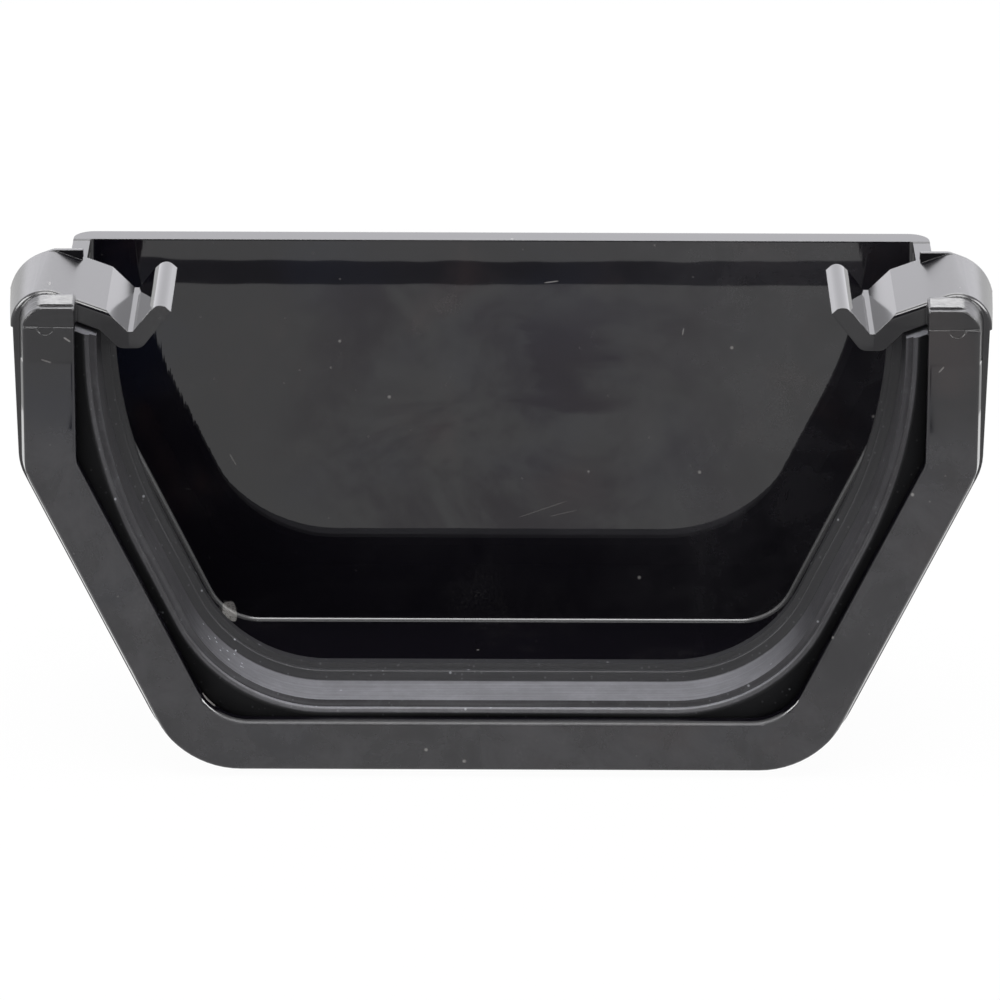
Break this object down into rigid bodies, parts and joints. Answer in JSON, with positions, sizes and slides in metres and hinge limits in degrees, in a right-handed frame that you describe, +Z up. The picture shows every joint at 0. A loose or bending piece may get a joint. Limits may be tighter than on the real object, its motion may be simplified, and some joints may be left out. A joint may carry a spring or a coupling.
{
  "type": "gutter end cap",
  "caption": "External end cap for a square-line plastic rain gutter: a one-piece trough moulding with a flanged mouth, a rubber seal in its channel and a snap clip at each top corner.",
  "frame": {"origin": "middle of the bounding box in X and Y, at the lowest surface, which is the underside of the collar", "axes": "-Y out of the open mouth towards the gutter, +Y out of the closed end, +X across the gutter to the right when looking into the mouth, +Z up"},
  "size_m": [0.137, 0.0438, 0.07],
  "materials": {
    "cap_body": "black rigid PVC, glossy as moulded",
    "gutter_seal": "black EPDM rubber, satin"
  },
  "bodies": {
    "root": {"cap_body": "cap_body", "gutter_seal": "gutter_seal"}
  },
  "joints": []
}
